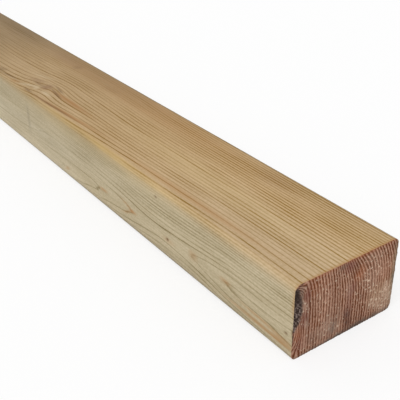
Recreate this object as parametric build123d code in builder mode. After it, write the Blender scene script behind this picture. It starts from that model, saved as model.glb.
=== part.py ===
"""A planed softwood plank of 45 x 70 mm section, two metres long, lying on its wide face.

The plank is one sawn and planed piece of timber. Its four long arrises are rounded by the planer.
The near end, at +X, has a shallow hollow where a dead knot has rotted away just behind the side face.

Frame: millimetres, +X along the plank towards the near end, +Y across its width, +Z up.
The origin is the centre of the bottom face.
"""

import os

from build123d import *

# Driving dimensions of the planed stock
LENGTH = 2000.0
WIDTH = 70.0
THICKNESS = 45.0
ARRIS_RADIUS = 3.5

# The hollow left by the dead knot, measured on the near end
HOLLOW_HEIGHT = 25.0  # tall, along Z
HOLLOW_BREADTH = 5.5  # inwards from the side face at -Y
HOLLOW_DEPTH = 3.0  # into the end, along -X
HOLLOW_BELOW_TOP = 14.0  # from the top face down to the hollow's middle
SKIN = 0.8  # wood left standing between the hollow and the side face

near_end = Plane.YZ.offset(LENGTH / 2)
far_end = Plane.YZ.offset(-LENGTH / 2)
mid_height = THICKNESS / 2


def sawn_section(inset=0.0):
    """The planed section with its rounded arrises, drawn smaller all round by the inset."""
    with Locations((0, mid_height)):
        RectangleRounded(
            WIDTH - 2 * inset,
            THICKNESS - 2 * inset,
            ARRIS_RADIUS - inset,
        )


# The hollow is part of an egg shape whose upright axis stands just outside the near end.
# The egg's round girth meets the end face at the stated breadth and reaches the stated depth.
egg_standoff = (HOLLOW_BREADTH**2 - HOLLOW_DEPTH**2) / (2 * HOLLOW_DEPTH)
egg_girth = egg_standoff + HOLLOW_DEPTH
egg_half_height = HOLLOW_HEIGHT / 2 * egg_girth / HOLLOW_BREADTH
egg_centre = (LENGTH / 2 + egg_standoff, -WIDTH / 2, THICKNESS - HOLLOW_BELOW_TOP)

with BuildPart() as egg:
    Sphere(egg_girth)
    scale(by=(1, 1, egg_half_height / egg_girth))

with BuildPart() as knot_hollow:
    with Locations(egg_centre):
        add(egg.part)
    with BuildSketch(near_end):
        sawn_section(inset=SKIN)
    extrude(amount=2 * egg_girth, both=True, mode=Mode.INTERSECT)

with BuildPart() as plank:
    with BuildSketch(far_end):
        sawn_section()
    extrude(amount=LENGTH)
    add(knot_hollow.part, mode=Mode.SUBTRACT)

plank.part.label = "plank"

os.makedirs("parts", exist_ok=True)
export_step(plank.part, "parts/plank.step")
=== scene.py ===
"""Looks of a planed softwood plank of 45 x 70 mm section, two metres long, lying on its wide face.

The plank is one piece of timber, so it is drawn as one closed surface. A count of its yearly rings is
worked out all over that surface, and the same count raises the hard winter wood and colours the grain.

Sizes in the classes are in millimetres and become metres when a mesh is made. "back" is measured from
the near end towards -X, "across" runs along Y from the middle, and "up" runs along Z from the floor.
"""

import logging
from collections.abc import Iterable
from dataclasses import dataclass
from enum import Enum
from typing import Protocol

import bpy
import numpy as np
from mathutils import Matrix, Vector


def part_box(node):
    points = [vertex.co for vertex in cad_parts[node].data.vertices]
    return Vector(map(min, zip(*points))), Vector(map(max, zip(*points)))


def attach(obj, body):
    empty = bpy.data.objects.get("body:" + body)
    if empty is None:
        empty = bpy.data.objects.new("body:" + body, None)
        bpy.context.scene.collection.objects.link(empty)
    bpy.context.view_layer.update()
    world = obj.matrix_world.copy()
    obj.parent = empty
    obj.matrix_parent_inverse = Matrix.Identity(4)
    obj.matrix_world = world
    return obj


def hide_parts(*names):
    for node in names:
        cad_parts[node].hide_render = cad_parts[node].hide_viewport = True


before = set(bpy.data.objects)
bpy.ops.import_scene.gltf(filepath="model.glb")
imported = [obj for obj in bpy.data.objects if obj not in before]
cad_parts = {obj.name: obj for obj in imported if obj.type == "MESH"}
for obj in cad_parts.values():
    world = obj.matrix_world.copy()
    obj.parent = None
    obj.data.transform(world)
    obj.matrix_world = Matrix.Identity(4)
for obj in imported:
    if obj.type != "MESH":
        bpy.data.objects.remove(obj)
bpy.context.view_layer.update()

MM = 0.001
PER_MM = 1000.0
TINY = 1e-9

log = logging.getLogger("plank")

Array = np.ndarray
Colour = tuple[float, float, float, float]
Pair = tuple[float, float]
Triple = tuple[float, float, float]
Keys = tuple[Pair, ...]
Rows = tuple[tuple[float, ...], ...]


def srgb(red: float, green: float, blue: float) -> Colour:
    """Turns a colour as a screen shows it into the linear values that shaders take.

    Args:
        red: Red from 0 to 255.
        green: Green from 0 to 255.
        blue: Blue from 0 to 255.

    Returns:
        Linear red, green and blue from 0 to 1, with an alpha of 1.
    """
    shares = np.array([red, green, blue]) / 255
    linear = np.where(shares <= 0.04045, shares / 12.92, ((shares + 0.055) / 1.055) ** 2.4)
    return (*(float(part) for part in linear), 1.0)


def soft_step(low: float, high: float, at: Array) -> Array:
    """Goes smoothly from 0 at low to 1 at high, which may lie on either side of low.

    Formula: three squares less two cubes of the share of the way.

    Args:
        low: Where the step starts.
        high: Where it is full.
        at: Places where it is wanted.

    Returns:
        The step's value at each place, from 0 to 1.
    """
    share = np.clip((at - low) / (high - low), 0, 1)
    return share * share * (3 - 2 * share)


def bell(middle: float, reach: float, at: Array, power: int = 2) -> Array:
    """Falls from 1 at the middle: e to minus an even power of the distance in reaches."""
    return np.exp(-(((at - middle) / reach) ** power))


def smooth_curve(keys: Keys, at: Array) -> Array:
    """Draws a smooth line through a few chosen points.

    Between two points the line is the cubic that leaves the first and reaches the second with the
    mean slopes found there.

    Args:
        keys: Pairs of place and value, in rising order of place.
        at: Places where the line is wanted.

    Returns:
        The value of the line at each place.
    """
    places, values = np.array(keys, dtype=float).T
    slopes = np.gradient(values, places)
    left = np.clip(np.searchsorted(places, at, side="right") - 1, 0, len(places) - 2)
    span = places[left + 1] - places[left]
    t = np.clip((at - places[left]) / span, 0, 1)
    start = (1 + 2 * t) * (1 - t) ** 2 * values[left] + t * (1 - t) ** 2 * span * slopes[left]
    finish = t * t * (3 - 2 * t) * values[left + 1] - t * t * (1 - t) * span * slopes[left + 1]
    return start + finish


@dataclass(frozen=True)
class Ripple:
    """Seeded unevenness over two coordinates, from -1 to 1."""

    seed: int
    lattice: int = 128

    def at(self, u: Array, v: Array) -> Array:
        """Random heights stand at the whole numbers, and smooth steps join them in between.

        Args:
            u: First coordinate, in units of the ripple's own size.
            v: Second coordinate, in the same units.

        Returns:
            The height at each point, from -1 to 1.
        """
        heights = np.random.default_rng(self.seed).uniform(-1, 1, (self.lattice, self.lattice))
        column = np.floor(u).astype(int)
        row = np.floor(v).astype(int)
        right = soft_step(0, 1, u - column)
        above = soft_step(0, 1, v - row)
        near = column % self.lattice
        far = (column + 1) % self.lattice
        low = row % self.lattice
        high = (row + 1) % self.lattice
        lower = heights[near, low] * (1 - right) + heights[far, low] * right
        upper = heights[near, high] * (1 - right) + heights[far, high] * right
        return lower * (1 - above) + upper * above

    def sized(self, size: Pair, u: Array, v: Array) -> Array:
        """Gives the height where the ripple's own size is this many millimetres each way."""
        return self.at(u / size[0], v / size[1])


@dataclass(frozen=True)
class Section:
    """The planed section, a rectangle whose four arrises are rounded."""

    width: float
    thickness: float
    arris: float = 3.5

    def place(self, left_right: Array, down_up: Array) -> tuple[Array, Array]:
        """Lays the unit square from -1 to 1 over the section.

        A point keeps its share of the width and the thickness. Inside the square of an arris it moves
        along the ray from that arris's centre, until squares about the centre have become circles.

        Args:
            left_right: Share of half the width, from -1 to 1.
            down_up: Share of half the thickness, from -1 to 1.

        Returns:
            The places across and up.
        """
        half = np.array([self.width / 2, self.thickness / 2])
        point = np.stack([left_right * half[0], down_up * half[1]])
        core = (half - self.arris).reshape(2, *[1] * left_right.ndim)
        into = np.maximum(np.abs(point) - core, 0)
        longest = into.max(axis=0)
        distance = np.hypot(*into)
        shrink = np.where(distance > 0, longest / np.maximum(distance, TINY), 1)
        bent = np.sign(point) * (np.minimum(np.abs(point), core) + into * shrink)
        return bent[0], bent[1] + half[1]

    def outward(self, across: Array, up: Array) -> tuple[Array, Array]:
        """Gives the direction straight out of the outline, which on an arris is along its radius.

        Args:
            across: Places across the section.
            up: Places up the section.

        Returns:
            The direction's two parts, across and up.
        """
        from_middle = np.stack([across, up - self.thickness / 2])
        half = np.array([self.width / 2, self.thickness / 2]) - self.arris
        into = np.maximum(np.abs(from_middle) - half.reshape(2, *[1] * across.ndim), 0)
        length = np.maximum(np.hypot(*into), TINY)
        return tuple(np.sign(from_middle) * into / length)


@dataclass(frozen=True)
class FaceKnot:
    """A small knot that comes out on the top face and pushes the grain aside."""

    back: float = 297.0
    across: float = -18.0
    reach_back: float = 11.0
    reach_across: float = 5.0
    push: float = 2.2

    def undisturbed(self, back: Array, across: Array) -> Array:
        """Finds where the grain at a point would lie without the knot.

        Formula: the push is spread by a bell that is longer along the grain than across it.

        Args:
            back: Distance from the near end.
            across: Distance from the middle of the face.

        Returns:
            The place across, drawn in towards the knot by a share of the push.
        """
        along = (back - self.back) / self.reach_back
        beside = (across - self.across) / self.reach_across
        return across - self.push * beside * np.exp(-along * along - beside * beside)


@dataclass(frozen=True)
class EndHollow:
    """The dead knot at the near end, rotted to a shallow dark hollow behind the side face."""

    section: Section
    height: float = 25.0
    breadth: float = 5.5
    depth: float = 3.0
    below_top: float = 14.0
    skin: float = 0.8
    narrower_above: float = 0.25
    narrowing: Pair = (0.0, 8.0)
    raggedness: float = 0.15
    fine_crumb: Pair = (0.9, 1.3)
    coarse_crumb: Pair = (2.4, 3.1)
    coarse_share: float = 0.8
    bowl_power: float = 0.7
    wall_shares: Pair = (0.2, 1.6)
    floor_crumb: Pair = (0.7, 0.9)
    floor_roughness: float = 0.14
    crumbs_end: Pair = (27.0, 35.0)
    crumbs_lost: float = 0.8
    rotten_from: Pair = (-0.4, 0.1)
    crumble: Ripple = Ripple(seed=11)

    def openness(self, across: Array, up: Array) -> Array:
        """Is above 0 inside the hollow's ragged rim and below 0 outside it.

        Formula: 1 less the square of the distance from the hollow's middle, which is on the side face,
        with crumbs of rotten wood added. Above its middle the hollow is narrower.

        Args:
            across: Places across the end.
            up: Places up the end.

        Returns:
            The openness at each place.
        """
        above = up - (self.section.thickness - self.below_top)
        breadth = self.breadth * (1 - self.narrower_above * soft_step(*self.narrowing, above))
        inwards = (across + self.section.width / 2) / breadth
        crumbs = self.crumble.sized(self.fine_crumb, across, up)
        crumbs = crumbs + self.coarse_share * self.crumble.sized(self.coarse_crumb, across, up)
        return 1 - inwards**2 - (above / (self.height / 2)) ** 2 + self.raggedness * crumbs

    def depth_at(self, across: Array, up: Array) -> Array:
        """Measures how deep the end is sunk: a bowl that fades out at the thin skin of the side face.

        Args:
            across: Places across the end.
            up: Places up the end.

        Returns:
            The depth at each place.
        """
        bowl = self.depth * np.clip(self.openness(across, up), 0, 1) ** self.bowl_power
        inner, outer = (share * self.skin for share in self.wall_shares)
        wall = soft_step(inner, outer, across + self.section.width / 2)
        rough = self.floor_roughness * self.crumble.sized(self.floor_crumb, across, up)
        return bowl * wall * (1 - self.floor_roughness + rough)

    def crumbs_at(self, up: Array) -> Array:
        """Shows how much ashen crumb lies in the hollow: most of it low down."""
        return 1 - self.crumbs_lost * soft_step(*self.crumbs_end, up)

    def rot_at(self, across: Array, up: Array) -> Array:
        """Shows how rotten the wood is, from 1 in the hollow to 0 just outside its ragged rim."""
        return soft_step(*self.rotten_from, self.openness(across, up))


@dataclass(frozen=True)
class KnotRings:
    """The rings that run round the dead knot on the near end.

    They lie about an upright stretch just outside the side face, and bend round its top and its foot.
    """

    section: Section
    outside: float = 1.5
    stretch: Pair = (24.0, 35.0)
    pitch: float = 1.15
    start: float = -4.9
    more_above: float = 1.3
    more_from: Pair = (10.0, 24.0)
    top_stretched: float = 0.9
    foot_stretched: float = 2.8
    hold_stretched: float = 2.0
    held: Pair = (11.0, 6.0)

    def away(self, across: Array, up: Array, top_stretched: float) -> Array:
        """Measures the distance from the stretch, with heights beyond its ends divided.

        Args:
            across: Places across the end.
            up: Places up the end.
            top_stretched: What heights above the stretch are divided by.

        Returns:
            The distance at each place.
        """
        foot, top = self.stretch
        beyond = np.maximum(up - top, 0) / top_stretched + np.maximum(foot - up, 0) / self.foot_stretched
        return np.hypot(across + self.section.width / 2 + self.outside, beyond)

    def count(self, across: Array, up: Array) -> Array:
        """Counts the rings: the distance over the pitch, and some more from low down upwards."""
        rings = self.away(across, up, self.top_stretched) / self.pitch + self.start
        return rings + self.more_above * soft_step(*self.more_from, up)

    def share(self, across: Array, up: Array) -> Array:
        """Says how far these rings hold: fully beside the knot, and not at all away from it."""
        return soft_step(*self.held, self.away(across, up, self.hold_stretched))


@dataclass(frozen=True)
class Growth:
    """The yearly rings, as a count that rises from the side face at -Y towards the one at +Y.

    The heart of the tree lay beyond the side face at -Y, so the rings come out there as long loops.
    They stand nearly upright on the ends and run nearly straight along the wide faces.
    """

    section: Section
    knot: FaceKnot
    knot_rings: KnotRings
    heart_rings: float = 8.6
    side_pitch: float = 1.6
    calm_heart: float = 14.5
    sway_until: Pair = (34.0, 14.0)
    swell_until: Pair = (27.0, 16.0)
    top_felt_from: float = 22.0
    side_shift: Keys = (
        (0, 0), (20, 0), (26, -0.35), (30, -0.7), (33, -0.55), (36, -0.05), (38.5, 0.42), (41.5, 0.85),
        (45, 1),
    )
    side_reach: float = 8.0
    far_heart: float = 25.0
    far_sway: float = 5.0
    far_rings: float = 6.0
    far_pitch: float = 1.7
    far_swell: float = 1.8
    far_swell_reach: float = 9.0
    upright_below: float = 12.0
    end_pitch: float = 1.86
    end_bend: float = 26.0
    end_start: float = 40.0
    end_lean: Keys = ((-35, 0.24), (-8, 0.24), (5, 0.5), (20, 0.38), (35, 0.38))
    heart_up: Keys = (
        (0, 14.0), (20, 14.4), (57, 15.8), (85, 16.4), (118, 15.4), (143, 14.2), (181, 13.0), (233, 8.5),
        (300, 2.0), (380, 0.0), (560, 9.0), (760, 18.0), (1000, 22.0), (1300, 18.0), (1650, 12.0),
        (2000, 15.0),
    )
    loops: Keys = (
        (0, 0.4), (15, 0.62), (40, 0.74), (50, 0.84), (57, 1.03), (66, 1.36), (76, 1.7), (85, 2.0),
        (100, 2.3), (118, 2.42), (134, 2.22), (143, 2.0), (150, 1.75), (161, 1.44), (174, 1.15),
        (181, 1.0), (190, 0.76), (210, 0.4), (233, 0.0), (245, -0.25), (300, -0.9),
        (380, -1.2), (560, 0.4), (760, 2.4), (1000, 1.0), (1300, -1.2), (1650, 1.2), (2000, 2.2),
    )
    top_rings: Keys = (
        (-37, -0.7), (-35, 0.0), (-32.9, 0.69), (-30.1, 1.69), (-25.8, 2.69), (-22.5, 3.69), (-10.5, 8.69),
        (8.8, 16.69), (20.7, 22.69), (32.2, 28.69), (35, 30.1), (40, 32.6),
    )
    bottom_rings: Keys = ((-35, 0.0), (-28, 3.2), (-10, 12.4), (9, 22.2), (35, 35.5))
    lines_moved: tuple[tuple[float, Keys], ...] = (
        (-35, ((0, 0), (50, -0.8), (80, 0.2), (110, 1.6), (150, 3.1), (190, 4.6), (230, 7.3), (265, 9.2),
               (287, 9.9), (304, 12.2), (328, 15.0), (360, 16.0), (470, 9.0), (650, 2.0), (900, 0.0))),
        (-28, ((0, 0), (50, -0.7), (80, 0.0), (110, 1.1), (150, 2.6), (190, 4.0), (230, 5.5), (265, 7.2),
               (287, 7.0), (304, 9.4), (328, 12.4), (360, 14.0), (470, 8.0), (650, 2.0), (900, 0.0))),
        (-12, ((0, 0), (50, 0.1), (80, 0.4), (110, 1.2), (150, 2.2), (190, 2.6), (230, 2.1), (265, 1.8),
               (287, 0.4), (304, 1.6), (328, 5.2), (360, 7.2), (470, 5.0), (650, 1.0), (900, 0.0))),
        (8, ((0, 0), (80, 0.1), (110, 0.3), (150, 0.7), (190, 0.5), (230, -0.7), (265, -1.9),
             (287, -2.1), (304, -1.3), (328, -0.1), (360, 1.0), (470, 1.5), (650, 0.5), (900, 0.0))),
        (32, ((0, 0), (110, 0.0), (150, -0.4), (190, -1.2), (230, -3.3), (265, -4.0), (287, -4.3),
              (328, -3.4), (360, -3.0), (470, -1.0), (650, 0.0), (900, 0.5))),
    )
    far_sway_at: Pair = (230.0, 3.5)
    far_swell_at: Pair = (150.0, 9.5)
    coarse_waver: float = 0.14
    coarse_size: Pair = (4.0, 9.0)
    fine_waver: float = 0.08
    fine_size: Pair = (1.5, 3.0)
    skin_waver: float = 0.1
    skin_across: Pair = (5.0, 90.0)
    skin_up: Pair = (7.0, 60.0)
    waver: Ripple = Ripple(seed=3)

    def moved(self, back: Array, across: Array) -> Array:
        """Says how far the grain lines of the top face have moved towards -Y.

        Formula: a few tracks along the plank each carry a smooth curve, and straight blends join them.

        Args:
            back: Distances from the near end.
            across: Places across the top face.

        Returns:
            The distance moved at each point.
        """
        places = [place for place, _ in self.lines_moved]
        distance = np.zeros_like(across, dtype=float)
        for share, (_, keys) in zip(np.eye(len(places)), self.lines_moved):
            distance = distance + smooth_curve(keys, back) * np.interp(across, places, share)
        return distance

    def on_side(self, back: Array, up: Array) -> Array:
        """Counts the rings on the side face at -Y.

        Formula: a hyperbola in the height above the heart line, so that rings are far apart at the
        heart and evenly spaced away from it, with a shift that crowds them towards the top. A swell
        along the plank closes the loops around the heart, and near the top arris the side takes on the
        rings that come over from the top face.

        Args:
            back: Distances from the near end.
            up: Heights on the side face.

        Returns:
            The ring count.
        """
        sway = smooth_curve(self.heart_up, back) - self.calm_heart
        height = up - self.calm_heart - sway * soft_step(*self.sway_until, up)
        rings = np.hypot(self.heart_rings, height / self.side_pitch) - self.heart_rings
        swell = smooth_curve(self.loops, back) * soft_step(*self.swell_until, np.abs(height))
        arris = np.full_like(back, -self.section.width / 2)
        over = smooth_curve(self.top_rings, arris + self.moved(back, arris))
        shift = smooth_curve(self.side_shift, up)
        return rings + shift + swell + over * soft_step(self.top_felt_from, self.section.thickness, up)

    def on_top(self, back: Array, across: Array) -> Array:
        """Counts the rings on the top face, from the side face's own count at the arris they share.

        Args:
            back: Distances from the near end.
            across: Places across the top face.

        Returns:
            The ring count.
        """
        rings = np.hypot(self.heart_rings, (self.section.thickness - self.calm_heart) / self.side_pitch)
        rings = rings - self.heart_rings + self.side_shift[-1][1]
        calm = self.knot.undisturbed(back, across)
        return rings + smooth_curve(self.top_rings, calm + self.moved(back, calm))

    def on_bottom(self, back: Array, across: Array) -> Array:
        """Counts the rings on the bottom face, from the side face's own count at the lower arris."""
        return self.on_side(back, np.zeros_like(back)) + smooth_curve(self.bottom_rings, across)

    def on_far_side(self, back: Array, up: Array) -> Array:
        """Counts the rings that the side face at +Y has more than the arris above it.

        Formula: what a hyperbola in the height above a swaying middle line reaches at the top arris,
        less its value at the point, and less a swell that makes loops.

        Args:
            back: Distances from the near end.
            up: Heights on the side face.

        Returns:
            The rings added at each point.
        """
        sway, swell = (
            self.waver.at(back / reach, np.full_like(back, row))
            for reach, row in (self.far_sway_at, self.far_swell_at)
        )
        heart = self.far_heart + self.far_sway * sway
        rings = np.hypot(self.far_rings, (up - heart) / self.far_pitch)
        swell = self.far_swell * swell * bell(0, self.far_swell_reach, up - heart)
        return np.hypot(self.far_rings, (self.section.thickness - heart) / self.far_pitch) - rings - swell

    def on_near_end(self, across: Array, up: Array) -> Array:
        """Counts the rings on the near end.

        Formula: evenly spaced upright lines that lean over by a cube of the height, and next to the
        dead knot rings that run round its hollow.

        Args:
            across: Places across the end.
            up: Places up the end.

        Returns:
            The ring count.
        """
        lift = self.end_bend / 3 * (np.maximum(up - self.upright_below, 0) / self.end_bend) ** 3
        lean = smooth_curve(self.end_lean, across) * lift
        upright = (across + self.section.width / 2 + lean) / self.end_pitch
        waver = self.coarse_waver * self.waver.sized(self.coarse_size, across, up)
        waver = waver + self.fine_waver * self.waver.sized(self.fine_size, across, up)
        beside = self.knot_rings.share(across, up)
        rings = upright * (1 - beside) + self.knot_rings.count(across, up) * beside
        return rings + waver + self.end_start

    def count(self, back: Array, across: Array, up: Array) -> Array:
        """Counts the rings anywhere in the plank.

        Formula: the bottom's count passes into the top's by a cube of the height above the upright
        part, and what the side faces have more or less than that dies away inwards.

        Args:
            back: Distances from the near end.
            across: Places across the plank.
            up: Heights in the plank.

        Returns:
            The ring count.
        """
        back, across, up = (values.astype(float) for values in np.broadcast_arrays(back, across, up))
        room = self.section.thickness - self.upright_below
        lean = (np.maximum(up - self.upright_below, 0) / room) ** 3
        edge = np.full_like(across, -self.section.width / 2)
        inner = self.on_bottom(back, across) * (1 - lean) + self.on_top(back, across) * lean
        rim = self.on_bottom(back, edge) * (1 - lean) + self.on_top(back, edge) * lean
        fade = np.exp(-(across - edge) / self.side_reach)
        far_fade = np.exp((across + edge) / self.side_reach)
        waver = self.skin_waver * self.waver.at(
            across / self.skin_across[0] + back / self.skin_across[1],
            up / self.skin_up[0] + back / self.skin_up[1],
        )
        sides = (self.on_side(back, up) - rim) * fade + self.on_far_side(back, up) * far_fade
        return inner + sides + waver

    def closeness(self, back: Array, across: Array, up: Array, step: float = 0.25) -> Array:
        """Says how many rings are cut for each millimetre along the planed faces.

        Formula: the length of the count's slope within the face, from differences over two steps.

        Args:
            back: Distances from the near end.
            across: Places across the plank.
            up: Heights in the plank.
            step: How far to either side the count is taken.

        Returns:
            Rings for each millimetre.
        """
        out_across, out_up = self.section.outward(across, up)
        lengthways = self.count(back + step, across, up) - self.count(back - step, across, up)
        ahead = self.count(back, across + step * out_up, up - step * out_across)
        behind = self.count(back, across - step * out_up, up + step * out_across)
        return np.hypot(lengthways, ahead - behind) / (2 * step)


def winter_wood(count: Array) -> Array:
    """Shows how hard the wood is within its ring: it rises as a square and ends at once."""
    share = count - np.floor(count)
    return share**2 * (1 - soft_step(0.9, 1.0, share))


@dataclass(frozen=True)
class Places:
    """Points on the plank: how far back from the near end, how far across, and how high they are."""

    section: Section
    back: Array
    across: Array
    up: Array

    def facing_top(self) -> Array:
        """Shows how much each point faces up."""
        return np.clip(self.section.outward(self.across, self.up)[1], 0, 1)

    def facing_side(self) -> Array:
        """Shows how much each point faces -Y."""
        return np.clip(-self.section.outward(self.across, self.up)[0], 0, 1)


class Change(Protocol):
    """Anything that changes the look of a face and has a value at each of its points."""

    def over(self, first: Array, second: Array) -> Array:
        """Gives the change at points that are given by two coordinates on the face."""


def total(changes: Iterable[Change], first: Array, second: Array) -> Array:
    """Adds up several changes of one face."""
    return sum((change.over(first, second) for change in changes), np.zeros_like(first))


@dataclass(frozen=True)
class Shade:
    """A change over a part of one face, behind soft limits along the plank and beside that direction.

    Each limit gives the place where the change is absent and the one where it is full. Without limits
    it is full everywhere. A band is a middle and a reach beside, about which the change is a bell.
    """

    amount: float
    back: Pair | None = None
    beside: Pair | None = None
    band: Pair | None = None

    def over(self, back: Array, beside: Array) -> Array:
        """Gives the change at each point: the amount times a soft step for each limit.

        Args:
            back: Distances from the near end.
            beside: Places across, or heights on a side face.

        Returns:
            The change at each point.
        """
        change = np.full_like(back, self.amount)
        if self.back:
            change = change * soft_step(*self.back, back)
        if self.beside:
            change = change * soft_step(*self.beside, beside)
        if self.band:
            change = change * bell(*self.band, beside)
        return change


@dataclass(frozen=True)
class Swell:
    """A gain that is full at one place of a face and falls off from it as a bell each way."""

    amount: float
    at: Pair
    reach: Pair
    power: int = 2

    def over(self, first: Array, second: Array) -> Array:
        """Gives the gain at each point: the amount times one bell for each coordinate."""
        along = bell(self.at[0], self.reach[0], first, self.power)
        return self.amount * along * bell(self.at[1], self.reach[1], second, self.power)


@dataclass(frozen=True)
class RingAccent:
    """One ring whose line stands out more, or less, than its neighbours' over a stretch of the plank.

    The middle of the line lies a little before the whole number at which the ring ends.
    """

    number: float
    gain: float
    start: float
    stop: float
    fade: float = 20.0
    before: float = 0.15
    reach: float = 0.4

    def over(self, back: Array, count: Array) -> Array:
        """Is the gain at the ring's own line, and falls off as a bell to either side of it.

        Args:
            back: Distances from the near end.
            count: The ring count there.

        Returns:
            The gain at each point.
        """
        starts = soft_step(self.start - self.fade, self.start, back)
        stops = soft_step(self.stop + self.fade, self.stop, back)
        return self.gain * starts * stops * bell(self.number - self.before, self.reach, count)


TOP_ACCENTS: tuple[RingAccent, ...] = (
    RingAccent(14, -0.35, 0, 190), RingAccent(16, -0.08, 0, 60), RingAccent(16, 0.15, 110, 240),
    RingAccent(17, 0.12, 170, 300), RingAccent(18, -0.2, 0, 230), RingAccent(19, 0.12, 140, 300),
    RingAccent(20, 0.25, 235, 300), RingAccent(25, -0.2, 0, 2000), RingAccent(26, 0.15, 0, 340),
    RingAccent(29, 0.12, 0, 300), RingAccent(31, -0.2, 100, 2000), RingAccent(32, -0.2, 100, 2000),
    RingAccent(36, -0.25, 0, 2000), RingAccent(21, 0.25, 310, 360),
)
SIDE_ACCENTS: tuple[RingAccent, ...] = (
    RingAccent(3, 0.14, 75, 160), RingAccent(1, 0.12, 0, 50), RingAccent(2, 0.14, 60, 90),
    RingAccent(2, 0.3, 148, 172), RingAccent(1, 0.15, 182, 210),
)


class Face(Enum):
    """The faces of the plank that tints are placed on."""

    TOP = "top"
    SIDE = "side"
    NEAR_END = "near end"
    FAR_END = "far end"


class Tint(Enum):
    """Colours patched over the wood, a few as painted shade and highlight; the surface carries each by
    name.
    """

    ORANGE = "orange"
    YELLOW = "yellow"
    PALE = "pale"
    PURPLE = "purple"
    GREY = "grey"
    DARK = "dark"


@dataclass(frozen=True)
class Patch:
    """A soft-edged oval of a tint on one face.

    It is placed by back and across on the top face, by back and up on the side face, and by across and
    up on the ends. Its turn is in degrees.
    """

    first: float
    second: float
    first_reach: float
    second_reach: float
    strength: float = 1.0
    turn: float = 0.0

    def over(self, first: Array, second: Array) -> Array:
        """Falls off as a bell whose exponent is the cube of the distance in reaches.

        Args:
            first: First coordinate on the face.
            second: Second coordinate on the face.

        Returns:
            The tint's strength at each point.
        """
        angle = np.radians(self.turn)
        along = first - self.first
        beside = second - self.second
        major = (along * np.cos(angle) + beside * np.sin(angle)) / self.first_reach
        minor = (beside * np.cos(angle) - along * np.sin(angle)) / self.second_reach
        return self.strength * np.exp(-((major**2 + minor**2) ** 1.5))


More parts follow.
